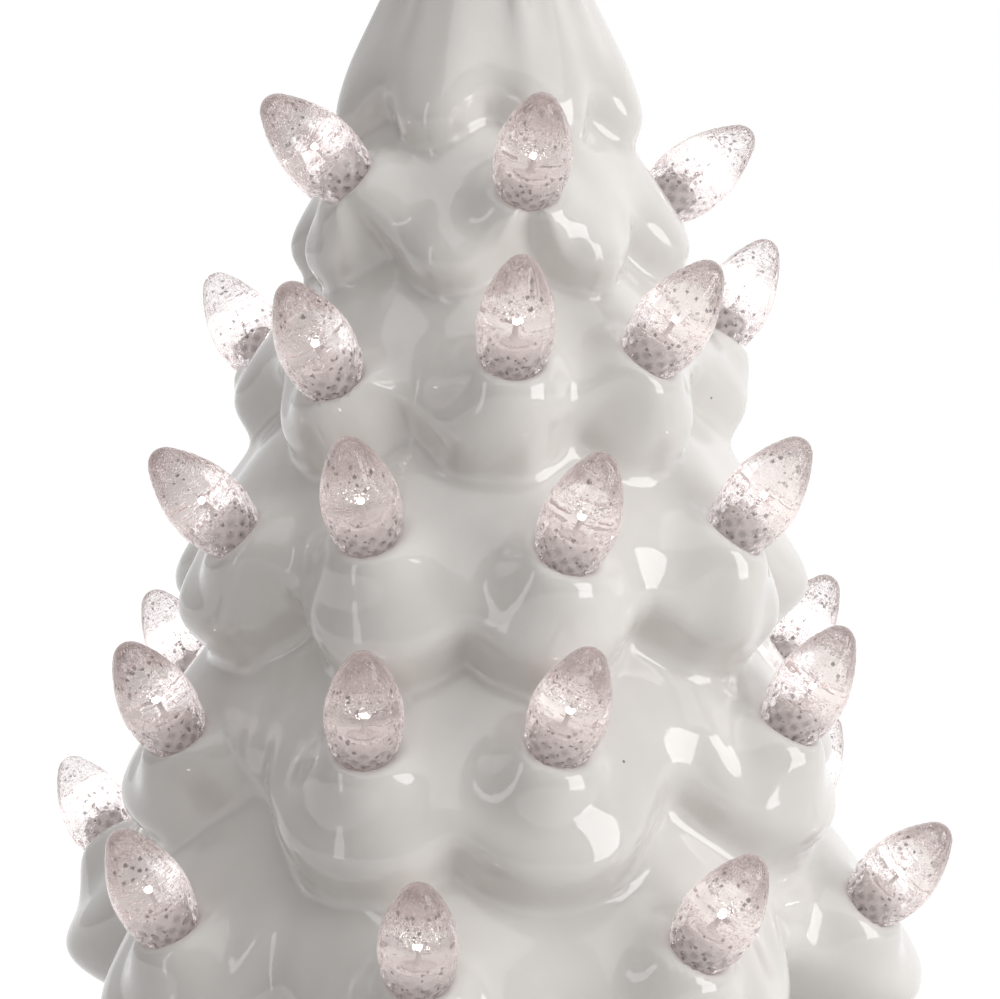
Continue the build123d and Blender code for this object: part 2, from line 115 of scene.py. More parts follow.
# Folds in the skin: azimuth, level, half width in degrees, half length, height before the gain
FOLD_GAIN = 1.3
FOLDS = (
    (16, 342, 6, 26, 1.2), (34, 345, 7, 24, 1.3), (56, 340, 8, 28, 1.4),
    (-38, 345, 9, 26, 1.0), (-80, 340, 10, 28, 1.1),
    (100, 342, 9, 26, 1.2), (150, 340, 10, 26, 1.2), (205, 343, 9, 26, 1.2), (250, 340, 10, 26, 1.1),
    (38, 84, 3.0, 16, 1.5), (47, 80, 2.6, 15, 1.4), (22, 82, 2.6, 15, 1.0),
    (-36, 84, 3, 16, 1.2), (-28, 80, 3, 14, 1.0),
    (-46, 132, 3, 16, 1.2), (-38, 130, 2.6, 14, 1.0), (42, 136, 3, 18, 1.2), (50, 130, 3, 16, -1.0),
    (34, 172, 3, 10, 1.1), (41, 168, 3, 9, -1.2), (47, 172, 3, 10, 1.1), (54, 168, 3, 9, -1.1),
    (20, 230, 4, 14, 1.0), (29, 226, 4, 14, -0.9), (-50, 264, 6, 14, 1.0), (-38, 262, 5, 12, -1.0),
    (30, 268, 6, 14, 1.0), (44, 266, 5, 12, -0.9),
)
# Lumps and folds fade out over so much above the shoulder and below the crown
FADE_FOOT = 20.0
FADE_CROWN = 25.0
SPIGOT_RADIUS = 42.0
SPIGOT_BORE = 35.0
RECESS_RADIUS = 46.0
RECESS_DEPTH = 28.0
BASE_STEPS = 128
SEAT_RISE = 4.0
BULB_LENGTH = 36.0
BULB_RADIUS = 11.1
BULB_FIT = 0.955
BULB_SINK = 0.8
NECK_RADIUS = 7.0
NECK_DEPTH = 8.0
NECK_BORE = 4.9
# The raised rim round a bulb's foot, how far from its seat the skin is reshaped, and the cup in it
RIM_RADIUS = 9.4
RIM_LEVEL = 1.2
RIM_SPREAD = 6.0
RIM_BLEND = 0.6
RIM_REACH = 34.0
RIM_DEPTH = 20.0
RIM_FADE = 7.0
RIM_HEIGHT = 10.0
CUP_GAPS = (5.0, 6.2, 6.6, 8.8, 10.1, 10.8, 11.6)
CUP_LEVELS = (-9.0, -1.7, -1.1, 1.7, 5.9, 12.0, 40.0)
LED_SEAT = 9.0
LED_LENGTH = 8.6
LED_RADIUS = 2.5
LED_BEAD_DROP = 2.6
LED_BEAD_HALF = 0.65
# The bulb's skin is plain round this level, where the eye looks through it at the bead
CLEAR_LEVEL = 18.0
BULB_STEPS = 96
LAMP_STEPS = 20
# Diamonds near a bulb's foot: turns, pitch, top level, depth and painted shade (how dark they are tinted);
# then the depth of the small dents
DIAMOND_TURNS = 6
DIAMOND_PITCH = 0.65
DIAMOND_TOP = 11.0
DIAMOND_DIP = 0.55
DIAMOND_PAINTED_SHADE = 0.7
DENT_DIP = 0.16
# Roughness of the acrylic, and its painted glow (the acrylic emits light though only the lamp inside is lit):
# everywhere, most near a level, and over so much
NECK_ROUGH = 0.10
BULB_ROUGH = 0.04
PAINTED_HALO_LEAST = 0.55
PAINTED_HALO_GAIN = 0.9
PAINTED_HALO_LEVEL = 14.0
PAINTED_HALO_SPREAD = 6.0
BULB_LEVELS = (0.0, 0.08, 0.20, 0.37, 0.56, 0.76, 0.91, 0.965, 0.992, 1.0)
BULB_WIDTHS = (0.62, 0.83, 0.95, 1.0, 0.92, 0.70, 0.44, 0.29, 0.14, 0.0)
STAR_RADIUS = 25.0
STAR_NOTCH = 0.45
STAR_STEP = 36
STEM_RADIUS = 4.2
STEM_BORE = 3.0
COLLAR_RADIUS = 7.5
STEM_STEPS = 40
# Points of a mesh closer than this, in metres, are one point; an edge shorter than the second is none
WELD = 2e-6
SLIVER = 1e-7
ROWS = len(SOCKET_ROWS)

# Stage, in metres. Windows: name, place, width and height, share of the key light's power
WINDOWS = (
    ("window_right", (1.05, -0.62, 0.40), (0.65, 1.0), 1.2),
    ("window_left", (-0.75, -0.75, 0.42), (0.13, 0.9), 0.10),
    ("window_over", (0.20, -0.50, 1.50), (1.8, 1.4), 1.0),
)
WINDOW_AIM = (0, 0, 0.2)
FLOOR_SIZE = 8
FLOOR_DROP = 0.0002
VIEW_ASIDE = 0.0032
# What the eye sees of the floor is mostly a plain white of this strength
FLOOR_WHITE = 0.75
FLOOR_STRENGTH = 1.27
# Brightness of the room in front and of the backdrop, and their shares at the dim side and at the window
ROOM = (0.33, 0.95)
SIDES = (0.66, 1.1)
# Of the camera, in millimetres
LENS = 104.4
SENSOR = 36


def linear(hex_colour):
    """An sRGB hex colour as the linear values that a shader socket takes."""
    parts = [int(hex_colour[i:i + 2], 16) / 255 for i in (1, 3, 5)]
    return [p / 12.92 if p <= 0.04045 else ((p + 0.055) / 1.055) ** 2.4 for p in parts] + [1.0]


class TreeFinish(bpy.types.PropertyGroup):
    """Colours and finishes of the tree."""
    glaze_colour: bpy.props.FloatVectorProperty(
        name="Glaze", description="Colour of the white glaze", subtype="COLOR", size=4,
        min=0, max=1, default=linear("#DFDBD7"))
    bulb_colour: bpy.props.FloatVectorProperty(
        name="Bulbs", description="Tint of the clear bulbs", subtype="COLOR", size=4,
        min=0, max=1, default=linear("#FAF9F9"))
    light_colour: bpy.props.FloatVectorProperty(
        name="Lamps", description="Colour of the lit lamps", subtype="COLOR", size=4,
        min=0, max=1, default=linear("#FFF1E6"))
    lamp_level: bpy.props.FloatProperty(
        name="Lamp level", description="How brightly the lamps shine", default=7.0, min=0, max=100)
    hand_ripple: bpy.props.FloatProperty(
        name="Hand ripple", description="Height in millimetres of the uneven hand-poured surface",
        default=0.55, min=0, max=2)


class TreeStage(bpy.types.PropertyGroup):
    """Camera and light."""
    view_distance: bpy.props.FloatProperty(
        name="Distance", description="From the camera to the middle of the view", subtype="DISTANCE",
        default=0.8352, min=0.2, max=5)
    view_height: bpy.props.FloatProperty(
        name="Height", description="Level of the middle of the view", subtype="DISTANCE",
        default=0.193, min=0, max=1)
    view_rise: bpy.props.FloatProperty(
        name="Rise", description="How far the camera looks down", subtype="ANGLE",
        default=math.radians(8.2), min=0, max=1.5)
    key_power: bpy.props.FloatProperty(
        name="Key light", description="Power of the window overhead, which the others follow",
        subtype="POWER", default=7.2, min=0, max=100)


# Nodes and materials

def node(tree, kind, links=(), **settings):
    """Adds a node with its settings; links are (input, output socket or value)."""
    made = tree.nodes.new(kind)
    for key, value in settings.items():
        setattr(made, key, value)
    for socket, source in links:
        if isinstance(source, bpy.types.NodeSocket):
            tree.links.new(source, made.inputs[socket])
        else:
            made.inputs[socket].default_value = source
    return made


def new_material(name):
    """A material with its tree, its shader and the piece's own coordinates."""
    material = bpy.data.materials.new(name)
    material.use_nodes = True
    tree = material.node_tree
    shader = tree.nodes["Principled BSDF"]
    place = node(tree, "ShaderNodeTexCoord").outputs["Object"]
    return material, tree, shader, place


def put(tree, shader, **values):
    """Sets plain values, and links sockets, on a shader."""
    for key, value in values.items():
        socket = shader.inputs[key.replace("_", " ")]
        if isinstance(value, bpy.types.NodeSocket):
            tree.links.new(value, socket)
        else:
            socket.default_value = value


def glaze_material(name, colour):
    """Gloss white glaze over cast earthenware: slightly darker drifts, a soft ripple and a few pinholes."""
    material, tree, shader, place = new_material(name)
    # Uneven glaze shows as drifts some 30 mm across
    drift = node(tree, "ShaderNodeTexNoise", [("Vector", place), ("Scale", 1 / 0.030), ("Detail", 3.0)])
    tones = node(tree, "ShaderNodeValToRGB", [("Fac", drift.outputs["Fac"])])
    tones.color_ramp.elements[0].position = 0.35
    tones.color_ramp.elements[0].color = [c * 0.93 for c in colour[:3]] + [1]
    tones.color_ramp.elements[1].position = 0.62
    tones.color_ramp.elements[1].color = list(colour)
    # Pinholes under a millimetre, some 20 mm apart
    cells = node(tree, "ShaderNodeTexVoronoi", [("Vector", place), ("Scale", 1 / 0.020)])
    hole = node(tree, "ShaderNodeMath", [(0, cells.outputs["Distance"]), (1, 0.022)], operation="LESS_THAN")
    body = node(tree, "ShaderNodeMix", [("Factor", hole.outputs[0]), (6, tones.outputs["Color"]),
                                        (7, linear("#8E867C"))], data_type="RGBA")
    # Glaze ripple some 9 mm long, which bends the edges of the highlights
    ripple = node(tree, "ShaderNodeTexNoise", [("Vector", place), ("Scale", 1 / 0.009), ("Detail", 2.0)])
    bump = node(tree, "ShaderNodeBump", [("Height", ripple.outputs["Fac"]), ("Strength", 0.10),
                                         ("Distance", 0.0012)])
    gloss = node(tree, "ShaderNodeMapRange", [("Value", drift.outputs["Fac"]), ("To Min", 0.03),
                                              ("To Max", 0.06)])
    put(tree, shader, Base_Color=body.outputs[2], Roughness=gloss.outputs[0], Normal=bump.outputs[0],
        IOR=1.50, Coat_Weight=0.3, Coat_Roughness=0.03)
    return material


def acrylic_material(name, colour, glow, painted_glow_level, cell_size):
    """Clear moulded acrylic: smooth, with crackle flecks that sparkle or are tinted dark as painted shade,
    diamonds near the foot tinted dark as painted shade, a painted glow where the acrylic itself emits light,
    and a frosted neck.
    """
    material, tree, shader, place = new_material(name)
    share = node(tree, "ShaderNodeAttribute", attribute_name="crackle").outputs["Fac"]
    frost = node(tree, "ShaderNodeAttribute", attribute_name="frost").outputs["Fac"]
    facet = node(tree, "ShaderNodeAttribute", attribute_name="facet").outputs["Fac"]
    # Flecks: most cells of an uneven net carry one, angular and of two sizes
    bent = node(tree, "ShaderNodeTexNoise", [("Vector", place), ("Scale", 1.5 / cell_size)])
    bent = node(tree, "ShaderNodeVectorMath", [(0, bent.outputs["Color"]), ("Scale", cell_size * 0.7)],
                operation="SCALE")
    bent = node(tree, "ShaderNodeVectorMath", [(0, place), (1, bent.outputs[0])], operation="ADD").outputs[0]
    flecks = []
    for scale, start_at, drawn_over in ((1.0, 0.62, 0.22), (1.9, 0.66, 0.15)):
        cells = node(tree, "ShaderNodeTexVoronoi", [("Vector", bent), ("Scale", scale / cell_size)],
                     distance="MANHATTAN")
        dice = node(tree, "ShaderNodeSeparateColor", [("Color", cells.outputs["Color"])])
        disc = node(tree, "ShaderNodeMapRange", [("Value", cells.outputs["Distance"]), ("From Min", start_at),
                                                 ("From Max", start_at - 0.22)])
        drawn = node(tree, "ShaderNodeMath", [(0, dice.outputs["Red"]), (1, drawn_over)],
                     operation="GREATER_THAN")
        fleck = node(tree, "ShaderNodeMath", [(0, disc.outputs[0]), (1, drawn.outputs[0])],
                     operation="MULTIPLY")
        fleck = node(tree, "ShaderNodeMath", [(0, fleck.outputs[0]), (1, share)], operation="MULTIPLY")
        flecks.append((fleck, dice))
    wave = node(tree, "ShaderNodeTexNoise", [("Vector", place), ("Scale", 0.45 / cell_size)])
    wave = node(tree, "ShaderNodeMath", [(0, wave.outputs["Fac"]), (1, share)], operation="MULTIPLY")
    height = node(tree, "ShaderNodeMath", [(0, wave.outputs[0]), (1, 0.6), (2, flecks[0][0].outputs[0])],
                  operation="MULTIPLY_ADD")
    height = node(tree, "ShaderNodeMath", [(0, flecks[1][0].outputs[0]), (1, 0.7), (2, height.outputs[0])],
                  operation="MULTIPLY_ADD")
    bump = node(tree, "ShaderNodeBump", [("Height", height.outputs[0]), ("Strength", 1.0),
                                         ("Distance", 0.0002)])
    # Painted shade: about half the large flecks and the diamonds near the foot are tinted dark grey in the
    # clear acrylic
    painted_shade = node(tree, "ShaderNodeMath", [(0, flecks[0][1].outputs["Green"]), (1, 0.5)],
                 operation="GREATER_THAN")
    painted_shade = node(tree, "ShaderNodeMath", [(0, painted_shade.outputs[0]), (1, flecks[0][0].outputs[0])],
                 operation="MULTIPLY")
    painted_shade = node(tree, "ShaderNodeMath", [(0, painted_shade.outputs[0]), (1, facet)], operation="MAXIMUM")
    tint = node(tree, "ShaderNodeMix", [("Factor", painted_shade.outputs[0]), (6, list(colour)),
                                        (7, linear("#5E5C60"))], data_type="RGBA")
    # Painted glow: the acrylic emits light in the glow colour, most near the lamp's level, though only the
    # lamp inside is lit
    painted_halo = node(tree, "ShaderNodeAttribute", attribute_name="painted_halo").outputs["Fac"]
    power = node(tree, "ShaderNodeMath", [(0, painted_halo), (1, painted_glow_level)], operation="MULTIPLY")
    put(tree, shader, Base_Color=tint.outputs[2], Roughness=frost, Normal=bump.outputs[0],
        IOR=1.49, Transmission_Weight=0.97, Emission_Color=list(glow), Emission_Strength=power.outputs[0])
    return material


def lamp_material(name, colour, level):
    """Lit lamp: a bright bead on a pale frame."""
    material, tree, shader, place = new_material(name)
    drift = node(tree, "ShaderNodeTexNoise", [("Vector", place), ("Scale", 1 / 0.002)])
    glow = node(tree, "ShaderNodeMix", [("Factor", drift.outputs["Fac"]), (6, list(colour)),
                                        (7, [1, 1, 1, 1])], data_type="RGBA")
    share = node(tree, "ShaderNodeAttribute", attribute_name="glow").outputs["Fac"]
    power = node(tree, "ShaderNodeMath", [(0, share), (1, level)], operation="MULTIPLY")
    put(tree, shader, Base_Color=linear("#B5ACAA"), Emission_Color=glow.outputs[2],
        Emission_Strength=power.outputs[0], Roughness=0.3)
    return material


def moulded_material(name, colour, grain, rough):
    """Moulded plastic or rubber: fine even grain and faint flow marks."""
    material, tree, shader, place = new_material(name)
    flow = node(tree, "ShaderNodeTexNoise", [("Vector", place), ("Scale", 1 / 0.012), ("Detail", 4.0)])
    shade = node(tree, "ShaderNodeMix", [("Factor", flow.outputs["Fac"]),
                                         (6, [c * 0.9 for c in colour[:3]] + [1]),
                                         (7, list(colour))], data_type="RGBA")
    fine = node(tree, "ShaderNodeTexVoronoi", [("Vector", place), ("Scale", 1 / grain)])
    bump = node(tree, "ShaderNodeBump", [("Height", fine.outputs["Distance"]), ("Strength", 0.35),
                                         ("Distance", 0.00006)])
    gloss = node(tree, "ShaderNodeMapRange", [("Value", flow.outputs["Fac"]), ("To Min", rough - 0.06),
                                              ("To Max", rough + 0.08)])
    put(tree, shader, Base_Color=shade.outputs[2], Roughness=gloss.outputs[0], Normal=bump.outputs[0])
    return material


def plated_material(name, colour):
    """Nickel-plated spring strip: fine drawn lines that differ in tone and gloss."""
    material, tree, shader, place = new_material(name)
    stretch = node(tree, "ShaderNodeMapping", [("Vector", place), ("Scale", (1, 0.05, 0.05))])
    lines = node(tree, "ShaderNodeTexNoise", [("Vector", stretch.outputs[0]), ("Scale", 1 / 0.0004)])
    shade = node(tree, "ShaderNodeMix", [("Factor", lines.outputs["Fac"]),
                                         (6, [c * 0.8 for c in colour[:3]] + [1]),
                                         (7, list(colour))], data_type="RGBA")
    gloss = node(tree, "ShaderNodeMapRange", [("Value", lines.outputs["Fac"]), ("To Min", 0.2),
                                              ("To Max", 0.36)])
    put(tree, shader, Base_Color=shade.outputs[2], Roughness=gloss.outputs[0], Metallic=1.0)
    return material


def board_material(name):
    """Solder-masked laminate: green film with faint track lines under it."""
    material, tree, shader, place = new_material(name)
    tracks = node(tree, "ShaderNodeTexBrick", [("Vector", place), ("Scale", 1 / 0.008),
                                               ("Color1", linear("#1F6B46")), ("Color2", linear("#24734C")),
                                               ("Mortar", linear("#3A8F63")), ("Mortar Size", 0.04)])
    bump = node(tree, "ShaderNodeBump", [("Height", tracks.outputs["Fac"]), ("Strength", 0.3),
                                         ("Distance", 0.00005)])
    put(tree, shader, Base_Color=tracks.outputs["Color"], Roughness=0.35, Normal=bump.outputs[0])
    return material


def cell_material(name):
    """Plain film jacket of a battery cell, a lighter band at each end."""
    material, tree, shader, place = new_material(name)
    along = node(tree, "ShaderNodeSeparateXYZ", [("Vector", place)])
    far = node(tree, "ShaderNodeMath", [(0, along.outputs["Y"])], operation="ABSOLUTE")
    band = node(tree, "ShaderNodeMath", [(0, far.outputs[0]), (1, 0.0195)], operation="GREATER_THAN")
    drift = node(tree, "ShaderNodeTexNoise", [("Vector", place), ("Scale", 1 / 0.006)])
    film = node(tree, "ShaderNodeMix", [("Factor", drift.outputs["Fac"]), (6, linear("#33363C")),
                                        (7, linear("#3C4047"))], data_type="RGBA")
    shade = node(tree, "ShaderNodeMix", [("Factor", band.outputs[0]), (6, film.outputs[2]),
                                         (7, linear("#A98A4E"))], data_type="RGBA")
    put(tree, shader, Base_Color=shade.outputs[2], Roughness=0.3, Metallic=0.15)
    return material


def dress(name, material):
    """Gives a CAD node a finish."""
    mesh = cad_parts[name].data
    mesh.materials.clear()
    mesh.materials.append(material)


# Modelling

def start(name):
    """Names the primitive just added and returns it."""
    piece = bpy.context.object
    piece.name = name
    piece.data.name = name
    return piece


def fresh():
    """Leaves nothing selected, in object mode."""
    if bpy.context.object and bpy.context.object.mode != "OBJECT":
        bpy.ops.object.mode_set(mode="OBJECT")
    bpy.ops.object.select_all(action="DESELECT")


def merged(piece):
    """Closes seams and poles and points the faces outwards."""
    fresh()
    bpy.context.view_layer.objects.active = piece
    piece.select_set(True)
    bpy.ops.object.mode_set(mode="EDIT")
    bpy.ops.mesh.select_all(action="SELECT")
    bpy.ops.mesh.remove_doubles(threshold=WELD)
    bpy.ops.mesh.dissolve_degenerate(threshold=SLIVER)
    bpy.ops.mesh.normals_make_consistent(inside=False)
    bpy.ops.object.mode_set(mode="OBJECT")
    return piece


def turned(name, outline, steps):
    """A turned piece: a closed outline of (radius, level) points spun about the upright axis."""
    fresh()
    bpy.ops.mesh.primitive_circle_add(vertices=len(outline), radius=0.01, fill_type="NOTHING")
    piece = start(name)
    for vertex, (radius, level) in zip(piece.data.vertices, outline):
        vertex.co = (radius * MM, 0, level * MM)
    bpy.ops.object.mode_set(mode="EDIT")
    bpy.ops.mesh.select_all(action="SELECT")
    bpy.ops.mesh.spin(steps=steps, angle=2 * math.pi, center=(0, 0, 0), axis=(0, 0, 1))
    bpy.ops.object.mode_set(mode="OBJECT")
    merged(piece)
    return piece


def smooth(piece, angle=None):
    """Shades a piece smooth, keeping edges sharper than the angle."""
    fresh()
    bpy.context.view_layer.objects.active = piece
    piece.select_set(True)
    if angle is None:
        bpy.ops.object.shade_smooth()
    else:
        bpy.ops.object.shade_smooth_by_angle(angle=math.radians(angle))
    return piece


def mark(piece, name, rule):
    """Stores a share per point of a piece, worked out from its place in millimetres."""
    layer = piece.data.attributes.new(name, "FLOAT", "POINT")
    for vertex, item in zip(piece.data.vertices, layer.data):
        item.value = rule(*(c / MM for c in vertex.co))


def copies(name, pattern, places):
    """Copies of a pattern at each place, joined into one piece with its place in its mesh."""
    fresh()
    made = []
    for place in places:
        copy = bpy.data.objects.new(name, pattern.data.copy())
        bpy.context.collection.objects.link(copy)
        copy.data.transform(place)
        copy.select_set(True)
        made.append(copy)
    bpy.context.view_layer.objects.active = made[0]
    if len(made) > 1:
        bpy.ops.object.join()
    return start(name)


def discard(piece):
    """Removes a pattern once it has been copied."""
    mesh = piece.data
    bpy.data.objects.remove(piece)
    bpy.data.meshes.remove(mesh)


def finish_piece(piece, material, slot, body, *nodes):
    """Gives a piece its finish and its body, and hides the CAD nodes that it stands for."""
    piece.data.materials.clear()
    piece.data.materials.append(material)
    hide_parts(*nodes)
    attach(piece, body)


def curve_through(points):
    """Even steps along a smooth line through points (Catmull-Rom)."""
    points = [np.array(p, float) for p in points]
    ends = [2 * points[0] - points[1]] + points + [2 * points[-1] - points[-2]]
    line = []
    for i in range(len(points) - 1):
        a, b, c, d = ends[i:i + 4]
        for t in np.linspace(0, 1, CURVE_STEPS, endpoint=False):
            line.append(0.5 * (2 * b + (c - a) * t + (2 * a - 5 * b + 4 * c - d) * t ** 2
                               + (3 * b - a - 3 * c + d) * t ** 3))
    return [tuple(p) for p in line] + [tuple(points[-1])]


# The skin of the boughs, by the same rule as the part's source

def skin_reach(azimuth, level, crease=CREASE_ROUND):
    """Distance from the axis to the glazed skin, over arrays of azimuths and levels."""
    reaches = [SKIRT_RADIUS - TIER_FLARES[0] * (level - SHOULDER)]
    for tier, ridges in enumerate(BOUGH_AZIMUTHS):
        radius, flare = TIER_RADII[tier], TIER_FLARES[tier]
        widest = LIP_ROUND * math.log(flare / (LIP_ROLL - flare))
        loss = LIP_ROLL * LIP_ROUND * math.log(1 + math.exp(widest / LIP_ROUND)) - flare * widest
        below = TIER_LEVELS[tier] - level
        flank = radius + flare * below
        # The last tier is the crown, which has no bulbs and sweeps in to the star
        if tier == ROWS:
            drawn_in = CROWN_SWEEP * (1 - np.exp(np.minimum(below, 0) * flare / CROWN_SWEEP))
            flank = np.where(below > 0, flank, radius - drawn_in)
        for ridge in ridges:
            offset = (azimuth - ridge + 180) % 360 - 180
            spread = np.abs(offset / BOUGH_HALF_ANGLE) ** BOUGH_CURVE
            spread = BOUGH_GAP * (1 - np.exp(-spread / BOUGH_GAP))
            lip = below + BOUGH_DROOP * radius * spread
            reaches.append(flank + loss - BOUGH_DEPTH * radius * spread
                           - LIP_ROLL * LIP_ROUND * np.logaddexp(0, lip / LIP_ROUND))
    reaches = np.array(reaches)
    top = reaches.max(0)
    return top + crease * np.log(np.exp((reaches - top) / crease).sum(0))


def hand_marks(azimuth, level, height):
    """Soft uneven lumps and folds that hand pouring leaves, in millimetres."""
    turn = np.radians(azimuth)
    lumps = (np.sin(5 * turn + level / 17 + 0.6) * np.sin(level / 13 - 3 * turn)
             + 0.7 * np.sin(9 * turn - level / 23 + 2.0) * np.sin(level / 19 + 1.3)
             + 0.4 * np.sin(15 * turn + level / 31 + 4.1) * np.cos(level / 11 + 2 * turn))
    marks = 0.5 * height * lumps
    for side, middle, wide, long, rise in FOLDS:
        offset = (azimuth - side + 180) % 360 - 180
        marks = marks + FOLD_GAIN * rise * np.exp(-(offset / wide) ** 2 - ((level - middle) / long) ** 2)
    return marks


def socket_frames(row):
    """Place and axes of each bulb of a row, as matrices in metres."""
    frames = []
    for azimuth, share, turn, tilt in SOCKET_ROWS[row]:
        level = TIER_LEVELS[row] + share * (TIER_TOPS[row] - TIER_LEVELS[row])
        reach = float(skin_reach(np.array([float(azimuth)]), np.array([level]))[0])
        side = math.radians(azimuth)
        head, lift = math.radians(azimuth + turn), math.radians(tilt)
        out = Vector((math.sin(head) * math.cos(lift), -math.cos(head) * math.cos(lift), math.sin(lift)))
        across = Vector((math.cos(head), math.sin(head), 0))
        over = out.cross(across)
        seat = Vector((reach * math.sin(side), -reach * math.cos(side), level)) + out * SEAT_RISE
        frames.append(Matrix(((across.x, over.x, out.x, seat.x * MM), (across.y, over.y, out.y, seat.y * MM),
                              (across.z, over.z, out.z, seat.z * MM), (0, 0, 0, 1))))
    return frames


class TREE_OT_body(bpy.types.Operator):
    """Pour the glazed body: boughs, skirt, crown and its sockets"""
    bl_idname = "glazed_tree.body"
    bl_label = "Glazed body"

    def execute(self, context):
        finish = context.scene.tree_finish
        around, up = SKIN_AROUND, SKIN_UP
        levels = list(np.linspace(SHOULDER, CROWN - CROWN_ROUND, up))
        azimuths = np.arange(around + 1) * 360 / around
        grid_azimuth, grid_level = np.meshgrid(azimuths, levels)
        # Glaze pools in the creases of the lower tiers, so they are softer there than in the clay
        soft = np.interp(grid_level, TIER_LEVELS[3:5], (CREASE_SOFT, 0.0))
        reach = skin_reach(grid_azimuth, grid_level, CREASE_ROUND * (1 + soft)) - CREASE_SINK * soft
        ease = np.clip((grid_level - SHOULDER) / FADE_FOOT, 0, 1)
        ease = ease * np.clip((CROWN - grid_level) / FADE_CROWN, 0, 1)
        reach = reach + hand_marks(grid_azimuth, grid_level, finish.hand_ripple) * ease

        def ring(radius, level):
            return np.full(around + 1, radius), np.full(around + 1, level)

        # Besides the skin: the floor and its opening, the rounded top and its star socket, the inner wall
        rings = [ring(FLOOR_OPENING, SHOULDER + FLOOR_WALL), ring(FLOOR_OPENING, SHOULDER),
                 (reach[0] - SKIRT_INSET, np.full(around + 1, SHOULDER))]
        rings += [(reach[i], grid_level[i] + (SKIRT_LIFT if i == 0 else 0)) for i in range(up)]
        for share, rise in CROWN_CURVE:
            rings.append((reach[-1] * share, np.full(around + 1, CROWN - CROWN_ROUND + rise)))
        rings += [ring(6.0, CROWN), ring(4.9, CROWN - 0.3), ring(STAR_SOCKET, CROWN - 1.2),
                  ring(STAR_SOCKET, CROWN - CROWN_WALL)]
        for level in np.linspace(CROWN - CROWN_WALL, SHOULDER + FLOOR_WALL, LINING_UP):
            inner = np.min([skin_reach(azimuths + turn, np.full(around + 1, level + rise))
                            for turn in LINING_TURNS for rise in LINING_RISES], axis=0) - SHELL_WALL
            rings.append((inner, np.full(around + 1, level)))
        rings.append(rings[0])
        fresh()
        bpy.ops.mesh.primitive_grid_add(x_subdivisions=around, y_subdivisions=len(rings) - 1, size=0.1)
        piece = start("glazed_body")
        radii = np.array([pair[0] for pair in rings])
        heights = np.array([pair[1] for pair in rings])
        turns = np.radians(azimuths)[None, :]
        points = np.stack([radii * np.sin(turns), -radii * np.cos(turns), heights], -1) * MM
        points = self.sockets(points)
        piece.data.vertices.foreach_set("co", points.reshape(-1).astype(np.float32))
        piece.data.update()
        merged(piece)
        smooth(piece)
        colour = list(finish.glaze_colour)
        finish_piece(piece, glaze_material("gloss_white_glaze", colour), "glaze", "tree", "tree_body")
        return {"FINISHED"}

    def sockets(self, points):
        """Draws the skin up round each bulb's foot, cups it to the bulb and sinks a hole for its neck."""
        flat = points.reshape(-1, 3)
        for row in range(ROWS):
            for place in socket_frames(row):
                into, back = np.array(place.inverted()), np.array(place)
                local = (flat @ into[:3, :3].T + into[:3, 3]) / MM
                gap = np.hypot(local[:, 0], local[:, 1])
                near = (gap < RIM_REACH) & (local[:, 2] > -RIM_DEPTH) & (local[:, 2] < RIM_HEIGHT)
                moved = local[near]
                gap, skin = gap[near], moved[:, 2]
                share = np.exp(-(np.maximum(gap - RIM_RADIUS, 0) / RIM_SPREAD) ** 2)
                share *= np.clip((skin + RIM_DEPTH) / RIM_FADE, 0, 1)
                raised = skin + share * RIM_BLEND * np.logaddexp(0, (RIM_LEVEL - skin) / RIM_BLEND)
                moved[:, 2] = np.minimum(raised, np.interp(gap, CUP_GAPS, CUP_LEVELS))
                flat[near] = (moved * MM) @ back[:3, :3].T + back[:3, 3]
        return flat.reshape(points.shape)


class TREE_OT_base(bpy.types.Operator):
    """Turn the glazed base with its rounded foot and trunk"""
    bl_idname = "glazed_tree.base"
    bl_label = "Glazed base"

    def execute(self, context):
        lowest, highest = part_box("base")
        foot, bottom, top = highest.x / MM, lowest.z / MM, SHOULDER
        outside = curve_through([(foot - 2.0, bottom), (foot - 0.3, bottom + 1.6), (foot, bottom + 3.6),
                                 (foot - 1.2, bottom + 6.2), (foot - 6.0, bottom + 9.0),
                                 (60.6, bottom + 14.5), (56.0, bottom + 22.0), (53.6, bottom + 31.0),
                                 (53.0, top)])
        roof = bottom + RECESS_DEPTH
        inside = [(SPIGOT_RADIUS, top), (SPIGOT_RADIUS, top + 7.4), (41.4, top + 8.0), (35.6, top + 8.0),
                  (SPIGOT_BORE, top + 7.4), (SPIGOT_BORE, roof), (RECESS_RADIUS, roof),
                  (RECESS_RADIUS, bottom + 0.8), (46.8, bottom)]
        piece = turned("glazed_base", outside + inside, BASE_STEPS)
        smooth(piece, 40)
        colour = list(context.scene.tree_finish.glaze_colour)
        finish_piece(piece, glaze_material("gloss_base_glaze", colour), "base_glaze", "tree", "base")
        dress("foot_pads", moulded_material("soft_pad_rubber", linear("#C9C7C1"), 0.0008, 0.7))
        return {"FINISHED"}


